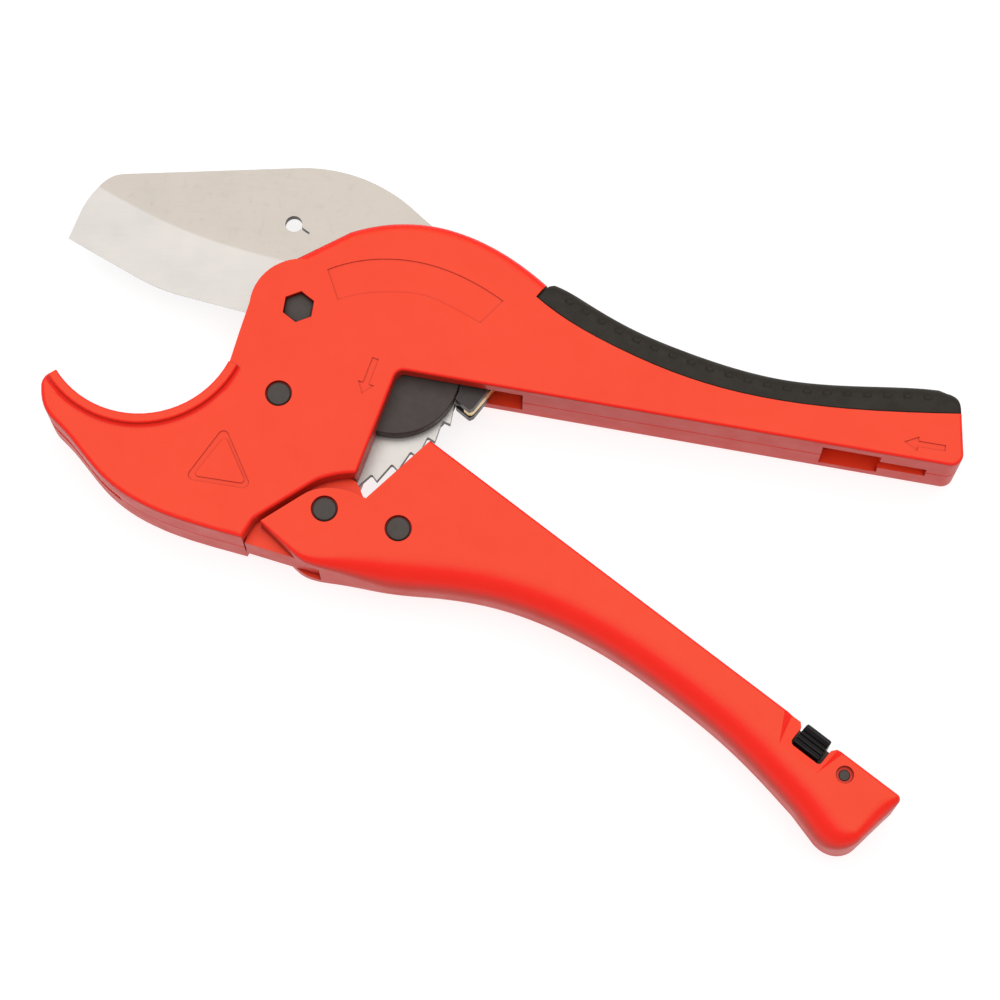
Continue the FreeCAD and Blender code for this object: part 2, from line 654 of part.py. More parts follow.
def cut_thumb_recess(body):
    """A dip in the front face that deepens towards the upper edge and has a sloped end each side of the knob."""
    along = (flat(along_handle(1, 0)) - flat(along_handle(0, 0))).normalize()
    upright = Vector(0, 0, 1)
    stance = Rotation(along, upright, along.cross(upright), "XYZ")
    over = HALF + 1.0
    sections = []
    for out, floor, corners in [(-5.2, HALF + 0.05, (6.0, 7.0, 21.5, 23.0)), (8.0, HALF - 2.3, (2.4, 6.0, 24.6, 30.1))]:
        right, low_right, low_left, left = corners
        outline = polygon((right, over), (low_right, floor), (low_left, floor), (left, over))
        frame = Placement(flat(along_handle(0, out)), stance)
        sections.append(new_sketch(body, f"recess{len(sections)}", outline, frame=frame))
    recess = body.newObject("PartDesign::SubtractiveLoft", "thumb_recess")
    recess.Profile = sections[0]
    recess.Sections = sections[1:]
    recess.Ruled = True
    doc.recompute()


def build_lower_handle():
    blank = new_body("handle_blank")
    pad(blank, new_sketch(blank, "outline", handle_outline()), "2 * dims.half_body", both=True)
    rounding = handle_rounding(blank)
    body = new_body("lower_handle")
    body.BaseFeature = rounding
    doc.recompute()
    cut(body, new_sketch(body, "channel", channel_outline()), "2 * dims.half_channel", both=True)
    lobe_room = circles(body, "lobe_room", [HANDLE_PIVOT], 17.2)
    cut(body, lobe_room, "2 * dims.half_channel", both=True)

    # notch and thumb scoop for the latch knob, in the front cheek
    notch = along_handle_corners((7.8, -2.5, 1.2), (19.3, -2.5, 1.6), (19.3, 3.6, 0), (20.9, 5.6, 0), (20.9, 12, 0),
                                 (6.2, 12, 0), (6.2, 5.6, 0), (7.8, 3.6, 0))
    cut(body, new_sketch(body, "knob_notch", notch, level=4.0), 10.0)
    cut_thumb_recess(body)

    # pin holes, with seats for the round heads on both faces
    cut(body, circles(body, "pin_holes", [HANDLE_PIVOT, PAWL_PIN], "dims.pin_radius"), 40.0, both=True)
    cut(body, circles(body, "latch_hole", [LATCH_PIN], "dims.latch_pin_radius"), 40.0, both=True)
    for side in (1, -1):
        level = f"{side} * dims.half_body"
        seats = circles(body, f"seats{side + 1}", [HANDLE_PIVOT, PAWL_PIN], "dims.head_seat", level)
        cut(body, seats, 1.6, side < 0)
        mouth = circles(body, f"latch_mouth{side + 1}", [LATCH_PIN], 2.8, level)
        cut(body, mouth, 1.5, side < 0)
    return body


# ---------------------------------------------------------------------------------------------------------
# Pivots, pins, screws and guards
# ---------------------------------------------------------------------------------------------------------
def ring(body, name, centre, outside, inside, level=None):
    sketch = circles(body, name, [centre, centre], outside, level)
    sketch_inside = [i for i, c in enumerate(sketch.Constraints) if c.Type == "Radius"][-1]
    if isinstance(inside, str):
        sketch.setExpression(f"Constraints[{sketch_inside}]", inside)
    else:
        sketch.setExpression(f"Constraints[{sketch_inside}]", None)
        sketch.setDatum(sketch_inside, inside)
    return sketch


def turn_dome(body, top):
    """Rounds a bolt head into a low dome that is highest on the pivot's axis."""
    rim, drop, over = 5.8, 1.5, top + 1.0
    section = [Part.Arc(Vector(0, top, 0), Vector(rim * 0.62, top - drop * 0.32, 0), Vector(rim, top - drop, 0)),
               Part.LineSegment(Vector(rim, top - drop, 0), Vector(rim, over, 0)),
               Part.LineSegment(Vector(rim, over, 0), Vector(0, over, 0)),
               Part.LineSegment(Vector(0, over, 0), Vector(0, top, 0))]
    stance = Rotation(Vector(1, 0, 0), Vector(0, 0, 1), Vector(0, -1, 0), "XYZ")
    sketch = new_sketch(body, "dome", section, frame=Placement(flat(PIVOT), stance))
    dome = body.newObject("PartDesign::Groove", f"{body.Name}_domed")
    dome.Profile = sketch
    dome.ReferenceAxis = (sketch, ["V_Axis"])
    dome.Angle = 360.0
    doc.recompute()


def build_pivot():
    """Hex-headed bolt, its nut, the bushing the blade turns on and a thin washer each side of the blade."""
    bolt = new_body("pivot_bolt")
    pad(bolt, circles(bolt, "shank", [PIVOT], "dims.bolt_radius", -11.9), 11.9 + 7.5)
    pad(bolt, new_sketch(bolt, "head", hexagon(PIVOT, size("bolt_flats")), level=7.5), 4.3)
    turn_dome(bolt, 11.8)
    dress(bolt, "Chamfer", 0.5, "end", lambda e: at_level(e, -11.9))

    nut = new_body("pivot_nut")
    pad(nut, new_sketch(nut, "flats", hexagon(PIVOT, size("bolt_flats")), level=-11.5), 4.0)
    cut(nut, circles(nut, "thread", [PIVOT], "dims.bolt_radius"), 30.0, both=True)
    dress(nut, "Chamfer", 0.4, "edge", lambda e: at_level(e, -11.5) and e.Length < 6)

    bushing = new_body("pivot_bushing")
    pad(bushing, ring(bushing, "section", PIVOT, "dims.bushing_radius", "dims.bolt_radius"),
        "2 * dims.half_slot", both=True)

    washers = new_body("blade_washers")
    washers.AllowCompound = True
    for side in (1, -1):
        level = f"{side} * (dims.half_blade + dims.running_gap)"
        thick = "dims.half_slot - dims.half_blade - dims.running_gap"
        pad(washers, ring(washers, f"ring{side + 1}", PIVOT, 9.0, "dims.bushing_radius", level), thick, side > 0)
    return [bolt, nut, bushing, washers]


def headed_pin(name, centre, shank, depth=1.6):
    """A pin with a flat round head sunk in a seat at each face, as a set rivet has."""
    body = new_body(name)
    pad(body, circles(body, "shank", [centre], shank), f"2 * (dims.half_body - {depth})", both=True)
    for side in (1, -1):
        level = f"{side} * (dims.half_body - {depth})"
        pad(body, circles(body, f"head{side + 1}", [centre], "dims.head_radius", level), 1.2, side > 0)
    dress(body, "Chamfer", 0.35, "head_edges", lambda e: abs(abs(middle_of(e).z) - (HALF - depth + 1.2)) < 1e-4)
    return body


def build_pins():
    rivet = headed_pin("jaw_rivet", JAW_RIVET, 2.5)
    pad(rivet, circles(rivet, "spacer", [JAW_RIVET], 4.4), "2 * dims.half_slot", both=True)
    handle_pin = headed_pin("handle_pivot_pin", HANDLE_PIVOT, "dims.pin_radius")
    pawl_pin = headed_pin("drive_pawl_pin", PAWL_PIN, "dims.pin_radius")

    latch_pin = new_body("latch_pin")
    pad(latch_pin, circles(latch_pin, "section", [LATCH_PIN], "dims.latch_pin_radius"),
        "2 * (dims.half_body - 1.2)", both=True)
    dress(latch_pin, "Chamfer", 0.35, "ends", lambda e: abs(abs(middle_of(e).z) - (HALF - 1.2)) < 1e-4)

    stop_pin = new_body("stop_pawl_pin")
    pad(stop_pin, circles(stop_pin, "section", [STOP_PIN], 1.5), 20.8, both=True)
    return [rivet, handle_pin, pawl_pin, latch_pin, stop_pin]


def build_screws():
    """Pan-head screws that hold the two shells together, driven from the rear."""
    body = new_body("shell_screws")
    body.AllowCompound = True
    seat = -(HALF - 2.6)
    pad(body, circles(body, "shanks", SCREWS, "dims.screw_radius", seat), 8.0 - seat)
    pad(body, circles(body, "heads", SCREWS, "dims.screw_head", seat), 1.9, up=False)
    crosses = []
    for x, y in SCREWS:
        arm, half = 1.7, 0.4
        crosses += polygon((x - arm, y - half), (x - half, y - half), (x - half, y - arm), (x + half, y - arm),
                           (x + half, y - half), (x + arm, y - half), (x + arm, y + half), (x + half, y + half),
                           (x + half, y + arm), (x - half, y + arm), (x - half, y + half), (x - arm, y + half))
    cut(body, new_sketch(body, "cross_recesses", crosses, level=seat - 1.9), 1.3, up=True)
    dress(body, "Fillet", 0.6, "domes", lambda e: at_level(e, seat - 1.9) and e.Length > 12)
    return body


def build_guard(name, side):
    """One of the two discs that cover the sides of the ratchet teeth in the window."""
    body = new_body(name)
    level = f"{side} * (dims.half_blade + 0.35)"
    pad(body, circles(body, "disc", [GUARD], "dims.guard_radius", level),
        "dims.guard_outer - dims.half_blade - 0.35", side > 0)
    dress(body, "Fillet", 0.5, "edge", lambda e: abs(abs(middle_of(e).z) - size("guard_outer")) < 1e-4)
    return body


# ---------------------------------------------------------------------------------------------------------
# Ratchet pawls and springs
# ---------------------------------------------------------------------------------------------------------
def strip(body, name, points, thickness, half_width):
    """A bent leaf of sheet: points along one side, thickness to the left of them."""
    other = offset_points(points, thickness)
    other.reverse()
    sketch = new_sketch(body, name, polygon(*points, *other))
    return pad(body, sketch, 2 * half_width, both=True)


def build_drive_pawl():
    """Pawl on the lower handle, drawn along its own length towards the ratchet teeth."""
    lean = math.radians(73.4)
    body = new_body("drive_pawl")
    corners = []
    for along, left, radius in [(-5.2, 5.2, 4.5), (14, 3.0, 0), (24, 0.7, 0), (28.9, -0.2, 0.5), (28.0, -2.2, 1),
                                (14, -5.0, 6), (-5.2, -5.2, 4.5)]:
        corners.append((PAWL_PIN[0] + along * math.cos(lean) - left * math.sin(lean),
                        PAWL_PIN[1] + along * math.sin(lean) + left * math.cos(lean), radius))
    pad(body, new_sketch(body, "outline", rounded(corners)), 8.0, both=True)
    cut(body, circles(body, "bore", [PAWL_PIN], "dims.pin_radius + dims.running_gap"), 20.0, both=True)
    return body


def build_stop_pawl():
    """Forked pawl in the upper handle: two cheeks straddle the teeth and a solid core stands clear of them."""
    body = new_body("stop_pawl")
    corners = [(50.2, -28.9, 0.8), (52.1, -26.0, 0.8), (58.6, -13.9, 3.4), (66.6, -14.6, 3.6), (60.6, -26.4, 1.0),
               (56.2, -32.1, 0.8), (54.8, -32.8, 0.8)]
    pad(body, new_sketch(body, "outline", rounded(corners)), 12.0, both=True)
    groove = polygon((52.6, -32.4), (51.0, -28.4), (54.9, -31.7), (55.6, -31.3), (59.8, -25.9), (64.4, -17.2),
                     (66.6, -18.0), (61.8, -27.0), (57.0, -33.2), (54.8, -34.2))
    cut(body, new_sketch(body, "spring_groove", groove), 2 * 2.4, both=True)
    cut(body, circles(body, "tooth_room", [PIVOT], 61.6), 4.4, both=True)
    cut(body, circles(body, "bore", [STOP_PIN], 1.5 + 0.05), 20.0, both=True)
    return body


def build_springs():
    stop_spring = new_body("stop_pawl_spring")
    strip(stop_spring, "leaf", [(69.3, -13.2), (68.2, -17.8), (60.2, -26.1), (55.8, -31.5), (54.9, -31.9),
                                 (52.3, -29.7)], 0.5, 2.1)
    drive_spring = new_body("drive_pawl_spring")
    strip(drive_spring, "leaf", [(76.0, -93.4), (60.0, -88.0), (52.0, -81.5), (43.2, -65.4)], 0.5, 2.5)
    latch_spring = new_body("latch_spring")
    strip(latch_spring, "leaf", [along_handle(*p) for p in [(-11.3, -8.6), (-4.5, -6.2), (0.0, -5.5), (5.0, -5.9)]],
          0.45, 2.5)

    # hairpin round the handle pivot: one leg lies in the shells, the other presses the handle's wall
    hairpin = new_body("handle_spring")
    pad(hairpin, ring(hairpin, "eye", HANDLE_PIVOT, 4.3, 3.3), 3.0, both=True)
    x, y = HANDLE_PIVOT
    strip(hairpin, "shell_leg", [(x - 3.4, y - 2.3), (-11.4, -73.6)], -0.9, 1.5)
    strip(hairpin, "handle_leg", [(x + 2.9, y - 2.9), (29.6, -85.2)], 0.9, 1.5)
    return [stop_spring, drive_spring, latch_spring, hairpin]


# ---------------------------------------------------------------------------------------------------------
# Handle latch
# ---------------------------------------------------------------------------------------------------------
T_BAR = (math.sqrt(size("latch_reach") ** 2 - 2.0 ** 2), 2.0)
KNOB = (9.3, 18.6)           # from and to, back along the handle from the latch pin
KNOB_LOW = -1.7              # its side towards the belly, out from the pin
KNOB_CENTRE = (1.3, 5.8)     # of the curve between its front and its top: out from the pin, and height
KNOB_CURVE = 5.8


def build_latch_hook():
    """Flat swing plate with a cross bar that catches behind the lips in the upper handle."""
    body = new_body("latch_hook")
    plate = along_handle_corners((-4.8, -4.8, 4.7), (6.0, -4.8, 3), (22.0, -0.9, 6), (30.6, -0.9, 2.4),
                                 (30.6, 4.9, 2.4), (2.0, 4.9, 3), (-4.8, 3.2, 3.6))
    pad(body, new_sketch(body, "plate", plate), 3.0, both=True)
    pad(body, circles(body, "bar", [along_handle(*T_BAR)], 1.9), 11.2, both=True)
    cut(body, circles(body, "bore", [LATCH_PIN], "dims.latch_pin_radius + dims.running_gap"), 20.0, both=True)
    dress(body, "Chamfer", 0.4, "bar_ends", lambda e: abs(abs(middle_of(e).z) - 5.6) < 1e-4)
    return body


def knob_face(travel, depth):
    """A place on the knob's ribbed face, that far round from its lower front corner and that deep."""
    flat_run = KNOB_CENTRE[0] - KNOB_LOW
    arc_run = KNOB_CURVE * math.pi / 2
    reach = KNOB_CURVE - depth
    if travel < flat_run:
        return (KNOB_LOW + travel, KNOB_CENTRE[1] + reach)
    if travel < flat_run + arc_run:
        angle = math.pi / 2 - (travel - flat_run) / KNOB_CURVE
        return (KNOB_CENTRE[0] + reach * math.cos(angle), KNOB_CENTRE[1] + reach * math.sin(angle))
    return (KNOB_CENTRE[0] + reach, KNOB_CENTRE[1] - (travel - flat_run - arc_run))


def build_latch_knob():
    """Ribbed thumb piece that straddles the swing plate and comes out through the notch in the front cheek."""
    body = new_body("latch_knob")
    ribs, depth = 12, 0.6
    whole = KNOB_CENTRE[0] - KNOB_LOW + KNOB_CURVE * math.pi / 2 + KNOB_CENTRE[1] + 3.0
    pitch = whole / ribs
    corners = []
    for rib in range(ribs):
        start = rib * pitch
        corners += [knob_face(start + 0.12 * pitch, depth), knob_face(start + 0.3 * pitch, 0),
                    knob_face(start + 0.7 * pitch, 0), knob_face(start + 0.88 * pitch, depth)]
    corners += [(6.0, -4.0), (3.0, -4.0), (3.0, -1.5), (4.9, -1.5), (4.9, 1.5), (KNOB_LOW, 1.5)]
    out = (flat(along_handle(0, 1)) - flat(along_handle(0, 0))).normalize()
    stance = Rotation(out, Vector(0, 0, 1), out.cross(Vector(0, 0, 1)), "XYZ")
    sketch = new_sketch(body, "section", polygon(*corners), frame=Placement(flat(along_handle(KNOB[1], 0)), stance))
    pad(body, sketch, KNOB[1] - KNOB[0])
    around = along_handle_corners((-5, -15, 0), (30, -15, 0), (30, 20, 0), (-5, 20, 0))
    front, back, out = KNOB[0], KNOB[1], KNOB_CENTRE[0] + KNOB_CURVE
    around += along_handle_corners((front, -8, 0.5), (back, -8, 0.5), (back, out, 1.3), (front, out, 1.3))
    cut(body, new_sketch(body, "round_corners", around), 60.0, both=True)
    return body


# ---------------------------------------------------------------------------------------------------------
# Build, check and write
# ---------------------------------------------------------------------------------------------------------
subparts = [build_shell("front_shell", 1), build_shell("rear_shell", -1), build_grip(), build_blade(),
            build_lower_handle()]
subparts += build_pivot() + build_pins() + [build_screws()]
subparts += [build_guard("front_guard", 1), build_guard("rear_guard", -1)]
subparts += [build_drive_pawl(), build_stop_pawl()] + build_springs()
subparts += [build_latch_hook(), build_latch_knob()]

for body in subparts:
    body.Placement = TO_PART_FRAME
doc.recompute()

for item in doc.Objects:
    if "Invalid" in item.State or "Error" in item.State:
        raise RuntimeError(f"{item.Name} did not recompute: {item.State}")
for body in subparts:
    if body.Shape.isNull() or not body.Shape.isValid():
        raise RuntimeError(f"{body.Label} has no valid shape")

os.makedirs("parts", exist_ok=True)
for body in subparts:
    body.Shape.exportStep(f"parts/{body.Label}.step")
    print(f"{body.Label}: {body.Shape.Volume:.0f} mm3, {len(body.Shape.Solids)} solid(s)")
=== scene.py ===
"""Looks of the ratcheting pipe shears: finishes, the rubber grip, the springs, the studio and the camera.

Everything is in metres, in the CAD frame: X along the tool to the handle ends, Y towards the blade's spine, Z up.
"""
import json
import math

import bmesh
import bpy
import numpy as np
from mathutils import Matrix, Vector


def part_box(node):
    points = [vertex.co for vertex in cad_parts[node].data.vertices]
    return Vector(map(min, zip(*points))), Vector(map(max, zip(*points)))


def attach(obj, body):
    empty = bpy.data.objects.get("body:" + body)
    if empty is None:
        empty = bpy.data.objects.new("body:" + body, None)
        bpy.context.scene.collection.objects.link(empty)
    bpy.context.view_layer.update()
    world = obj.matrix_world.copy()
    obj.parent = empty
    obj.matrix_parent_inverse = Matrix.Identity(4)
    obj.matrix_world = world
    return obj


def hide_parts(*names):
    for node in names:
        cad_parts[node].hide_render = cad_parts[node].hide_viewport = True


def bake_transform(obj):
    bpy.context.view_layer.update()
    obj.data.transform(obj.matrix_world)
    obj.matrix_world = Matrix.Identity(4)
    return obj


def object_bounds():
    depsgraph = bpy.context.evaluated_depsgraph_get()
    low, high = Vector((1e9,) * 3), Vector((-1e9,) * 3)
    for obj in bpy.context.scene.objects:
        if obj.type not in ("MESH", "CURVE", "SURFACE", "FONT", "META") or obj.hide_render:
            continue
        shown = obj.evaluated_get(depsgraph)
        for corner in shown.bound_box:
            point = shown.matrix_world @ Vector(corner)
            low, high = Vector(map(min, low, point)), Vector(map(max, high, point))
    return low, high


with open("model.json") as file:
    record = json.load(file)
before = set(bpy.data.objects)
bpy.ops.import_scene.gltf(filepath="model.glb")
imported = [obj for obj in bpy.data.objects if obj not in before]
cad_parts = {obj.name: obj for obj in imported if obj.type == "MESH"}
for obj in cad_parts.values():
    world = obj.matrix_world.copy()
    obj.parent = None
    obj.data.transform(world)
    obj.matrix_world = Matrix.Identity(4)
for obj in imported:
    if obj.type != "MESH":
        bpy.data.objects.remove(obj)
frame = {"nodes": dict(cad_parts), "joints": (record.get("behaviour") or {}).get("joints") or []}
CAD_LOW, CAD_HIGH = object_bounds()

MM = 0.001
NODES = frame["nodes"]
PIVOTS = {j["name"]: Vector(j["pos_m"]) for j in frame["joints"]}
HUB = PIVOTS["blade_swing"]
HANDLE_PIVOT = PIVOTS["handle_squeeze"]
SPLIT = HUB.z
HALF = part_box("lower_handle")[1].z - SPLIT


def spot(x, y, z=0.0):
    """A place given in millimetres from the blade pivot, in the frame's metres."""
    return Vector((HUB.x + x * MM, HUB.y + y * MM, SPLIT + z * MM))


# ---------------------------------------------------------------------------------------------------------
# Finishes
# ---------------------------------------------------------------------------------------------------------
BLADE_TIP = spot(-76.6, 28.1)
BLADE_BEND = spot(-46.6, 10.3)
BLADE_HEEL = spot(-15.4, 1.7)
BEVEL_MM = 22.0              # how far the bevel reaches in from the cutting edge
BEVEL_BLEND_MM = (2.5, 1.5)  # where its boundary starts and ends, short of that
EDGE_BEND_BLEND_MM = 9.0     # how gently the two edge runs' bevels join
GRINDING_ANGLE = -59
WALL_SHADE = (0.6, 0.3)         # surfaces count as side walls, which get painted shade, between these upright shares of their normal
ROUNDING_SHADE = (0.998, 0.90)     # and as roundings, which get painted shade, between these


class Finish:
    """A Principled material with the few node chains that the finishes share. Feature sizes are in millimetres."""

    def __init__(self, name, **sockets):
        self.material = bpy.data.materials.new(name)
        self.material.use_nodes = True
        self.tree = self.material.node_tree
        self.surface = self.tree.nodes["Principled BSDF"]
        for socket, value in sockets.items():
            self.surface.inputs[socket.replace("_", " ")].default_value = value
        self.place = self.node("ShaderNodeTexCoord").outputs["Object"]

    def node(self, kind, **settings):
        made = self.tree.nodes.new(kind)
        for key, value in settings.items():
            setattr(made, key, value)
        return made

    def feed(self, source, node, socket):
        """Connects a socket, or sets a plain number or colour on it."""
        if isinstance(source, bpy.types.NodeSocket):
            self.tree.links.new(source, node.inputs[socket])
        else:
            node.inputs[socket].default_value = source

    def turned(self, angle, stretch):
        """The place turned about Z by an angle in degrees and squeezed along its axes."""
        node = self.node("ShaderNodeMapping")
        self.feed(self.place, node, "Vector")
        node.inputs["Rotation"].default_value = (0, 0, math.radians(angle))
        node.inputs["Scale"].default_value = stretch
        return node.outputs["Vector"]

    def noise(self, feature_mm, detail=3.0, rough=0.5, where=None):
        node = self.node("ShaderNodeTexNoise")
        self.feed(where or self.place, node, "Vector")
        node.inputs["Scale"].default_value = 1 / (feature_mm * MM)
        node.inputs["Detail"].default_value = detail
        node.inputs["Roughness"].default_value = rough
        return node.outputs["Fac"]

    def span(self, value, low, high, to_low=0.0, to_high=1.0, smooth=False):
        """The value's range from low to high carried over to another range, and held at its ends."""
        node = self.node("ShaderNodeMapRange", clamp=True)
        if smooth:
            node.interpolation_type = "SMOOTHSTEP"
        for socket, source in (("Value", value), ("From Min", low), ("From Max", high), ("To Min", to_low),
                               ("To Max", to_high)):
            self.feed(source, node, socket)
        return node.outputs["Result"]

    def math(self, kind, a, b=0.0):
        node = self.node("ShaderNodeMath", operation=kind)
        self.feed(a, node, 0)
        self.feed(b, node, 1)
        return node.outputs[0]

    def mix(self, share, first, second):
        node = self.node("ShaderNodeMix", data_type="RGBA")
        self.feed(share, node, 0)
        self.feed(first if isinstance(first, bpy.types.NodeSocket) else (*first, 1.0), node, 6)
        self.feed(second if isinstance(second, bpy.types.NodeSocket) else (*second, 1.0), node, 7)
        return node.outputs[2]

    def along(self, direction, offset):
        """How far a place lies along a direction in the plan, in millimetres, counted from an offset."""
        node = self.node("ShaderNodeVectorMath", operation="DOT_PRODUCT")
        self.feed(self.place, node, 0)
        node.inputs[1].default_value = (direction[0] / MM, direction[1] / MM, 0)
        return self.math("SUBTRACT", node.outputs["Value"], offset)

    def edges(self, radius_mm):
        """0 on flat stretches, up to 1 where the surface turns sharply within that radius."""
        bevel = self.node("ShaderNodeBevel", samples=4)
        bevel.inputs["Radius"].default_value = radius_mm * MM
        normal = self.node("ShaderNodeNewGeometry").outputs["Normal"]
        dot = self.node("ShaderNodeVectorMath", operation="DOT_PRODUCT")
        self.feed(bevel.outputs["Normal"], dot, 0)
        self.feed(normal, dot, 1)
        return self.span(dot.outputs["Value"], 0.99, 0.78)

    def corners(self, reach_mm):
        """1 deep in tight inner corners and narrow gaps, 0 in the open: a mask for painted shade."""
        shade = self.node("ShaderNodeAmbientOcclusion", samples=6)
        shade.inputs["Distance"].default_value = reach_mm * MM
        return self.span(shade.outputs["AO"], 0.90, 0.45)

    def tilt(self, level, steep):
        """0 on faces parallel to the tool's flat sides, 1 on steeper ones; both limits are the upright share. The
        finishes use it as a mask for painted shade.
        """
        facing = self.node("ShaderNodeVectorMath", operation="DOT_PRODUCT")
        self.feed(self.node("ShaderNodeNewGeometry").outputs["Normal"], facing, 0)
        facing.inputs[1].default_value = (0, 0, 1)
        return self.span(self.math("ABSOLUTE", facing.outputs["Value"]), level, steep)

    def colour(self, source):
        self.feed(source, self.surface, "Base Color")

    def roughness(self, source):
        self.feed(source, self.surface, "Roughness")

    def bump(self, *layers, soften_mm=0.0):
        """Stacks bump layers, each (height socket, how deep a full step is in millimetres)."""
        normal = None
        if soften_mm:
            bevel = self.node("ShaderNodeBevel", samples=4)
            bevel.inputs["Radius"].default_value = soften_mm * MM
            normal = bevel.outputs["Normal"]
        for height, depth_mm in layers:
            node = self.node("ShaderNodeBump")
            node.inputs["Distance"].default_value = depth_mm * MM
            self.feed(height, node, "Height")
            if normal is not None:
                self.feed(normal, node, "Normal")
            normal = node.outputs["Normal"]
        self.feed(normal, self.surface, "Normal")


def red_enamel():
    """Enamel over a fine casting texture, with painted shade: a deeper red on the roundings, a duller one on the side
    walls, dark in corners; its pale worn edges are partly a painted highlight.
    """
    finish = Finish("red_enamel", Coat_Weight=0.04, Coat_Roughness=0.25, Specular_IOR_Level=0.20)
    drift = finish.noise(38, detail=2)
    base = finish.mix(drift, (0.85, 0.046, 0.012), (0.90, 0.060, 0.017))
    # painted shade: the roundings get a deeper red, where the light's sheen falls off
    base = finish.mix(finish.tilt(*ROUNDING_SHADE), base, (0.97, 0.022, 0.011))
    # painted shade: the side walls a darker, duller red
    base = finish.mix(finish.tilt(*WALL_SHADE), base, (0.60, 0.026, 0.012))
    # painted shade: a near-black red in tight corners and narrow gaps
    base = finish.mix(finish.corners(1.3), base, (0.34, 0.010, 0.005))
    # paler red on the sharp edges, broken up by noise: edge wear, and in part a painted edge highlight
    edge_wear_and_highlight = finish.math("MULTIPLY", finish.edges(0.35), finish.span(finish.noise(2.4), 0.45, 0.75))
    finish.colour(finish.mix(finish.math("MULTIPLY", edge_wear_and_highlight, 0.25), base, (0.62, 0.10, 0.07)))
    finish.roughness(finish.span(finish.noise(7), 0.3, 0.7, 0.36, 0.46))
    finish.bump((finish.noise(1.1, detail=2), 0.030), (finish.noise(0.35, detail=1), 0.012), soften_mm=0.15)
    return finish.material


def grip_rubber():
    """Matt black rubber with a little pale dust."""
    finish = Finish("grip_rubber", Specular_IOR_Level=0.22)
    dust = finish.span(finish.noise(1.6, detail=5, rough=0.7), 0.52, 0.78)
    finish.colour(finish.mix(finish.math("MULTIPLY", dust, 0.35), (0.022, 0.017, 0.012), (0.050, 0.042, 0.034)))
    finish.roughness(finish.span(finish.noise(5), 0.3, 0.7, 0.52, 0.68))
    finish.bump((finish.noise(0.45, detail=3), 0.05))
    return finish.material


def blade_steel():
    """Ground steel: brighter bevels, a cloudier flat with dull spots, and painted shade that makes the side walls
    dark.
    """
    finish = Finish("blade_steel", Metallic=1.0, Anisotropic=0.35)
    reach = []
    for start, end in ((BLADE_BEND, BLADE_TIP), (BLADE_HEEL, BLADE_BEND)):
        run = (end - start).normalized()
        inward = Vector((run.y, -run.x, 0))
        reach.append(finish.along(inward, start.dot(inward) / MM))
    from_edge = finish.math("SMOOTH_MIN", *reach)
    from_edge.node.inputs[2].default_value = EDGE_BEND_BLEND_MM
    flat = finish.span(from_edge, *(BEVEL_MM - short for short in BEVEL_BLEND_MM), smooth=True)
    clouds = finish.noise(16, detail=6, rough=0.62)
    spots = finish.span(finish.noise(3.2, detail=4, rough=0.7), 0.55, 0.8)
    flat_tone = finish.mix(clouds, (0.33, 0.295, 0.26), (0.44, 0.40, 0.36))
    flat_tone = finish.mix(finish.math("MULTIPLY", spots, 0.35), flat_tone, (0.25, 0.22, 0.19))
    bevel_tone = finish.mix(clouds, (0.40, 0.375, 0.35), (0.47, 0.445, 0.42))
    tone = finish.mix(flat, bevel_tone, flat_tone)
    # painted shade: the side walls near black
    finish.colour(finish.mix(finish.tilt(*WALL_SHADE), tone, (0.060, 0.050, 0.042)))
    lines = finish.noise(1.0, detail=4, rough=0.6, where=finish.turned(GRINDING_ANGLE, (0.10, 2.4, 1.0)))
    cloudy = finish.span(clouds, 0.3, 0.7, 0.30, 0.42)
    finish.roughness(finish.math("ADD", cloudy, finish.math("MULTIPLY", lines, 0.08)))
    finish.bump((lines, 0.012), (finish.noise(0.6, detail=2), 0.006), soften_mm=0.08)
    return finish.material


def dark_steel(name, tone=0.042, rough=(0.36, 0.50)):
    """Blackened steel with a little bare metal showing through at the edges."""
    finish = Finish(name, Specular_IOR_Level=0.28)
    dark, pale = (tone, tone * 0.74, tone * 0.64), (tone * 1.4, tone * 1.06, tone * 0.92)
    base = finish.mix(finish.noise(6, detail=4), dark, pale)
    rub = finish.math("MULTIPLY", finish.edges(0.3), finish.span(finish.noise(1.2), 0.35, 0.7))
    finish.colour(finish.mix(finish.math("MULTIPLY", rub, 0.5), base, (0.16, 0.138, 0.122)))
    finish.roughness(finish.span(finish.noise(2.2), 0.3, 0.7, *rough))
    finish.bump((finish.noise(0.5, detail=2), 0.012), soften_mm=0.12)
    return finish.material


def bright_metal(name, tone, rough, turn=0.0):
    """Bare metal with drawn lines along one direction."""
    finish = Finish(name, Metallic=1.0)
    lines = finish.noise(1.2, detail=4, where=finish.turned(turn, (0.15, 2.5, 2.5)))
    finish.colour(finish.mix(lines, [c * 0.82 for c in tone], tone))
    finish.roughness(finish.span(lines, 0.25, 0.75, rough - 0.06, rough + 0.08))
    finish.bump((lines, 0.010), soften_mm=0.08)
    return finish.material


def knob_plastic():
    """Black moulded plastic."""
    finish = Finish("knob_plastic", Specular_IOR_Level=0.16)
    finish.colour(finish.mix(finish.noise(2.5, detail=4), (0.003, 0.002, 0.002), (0.008, 0.006, 0.006)))
    finish.roughness(finish.span(finish.noise(1.5), 0.3, 0.7, 0.34, 0.48))
    finish.bump((finish.noise(0.3, detail=2), 0.01), soften_mm=0.12)
    return finish.material


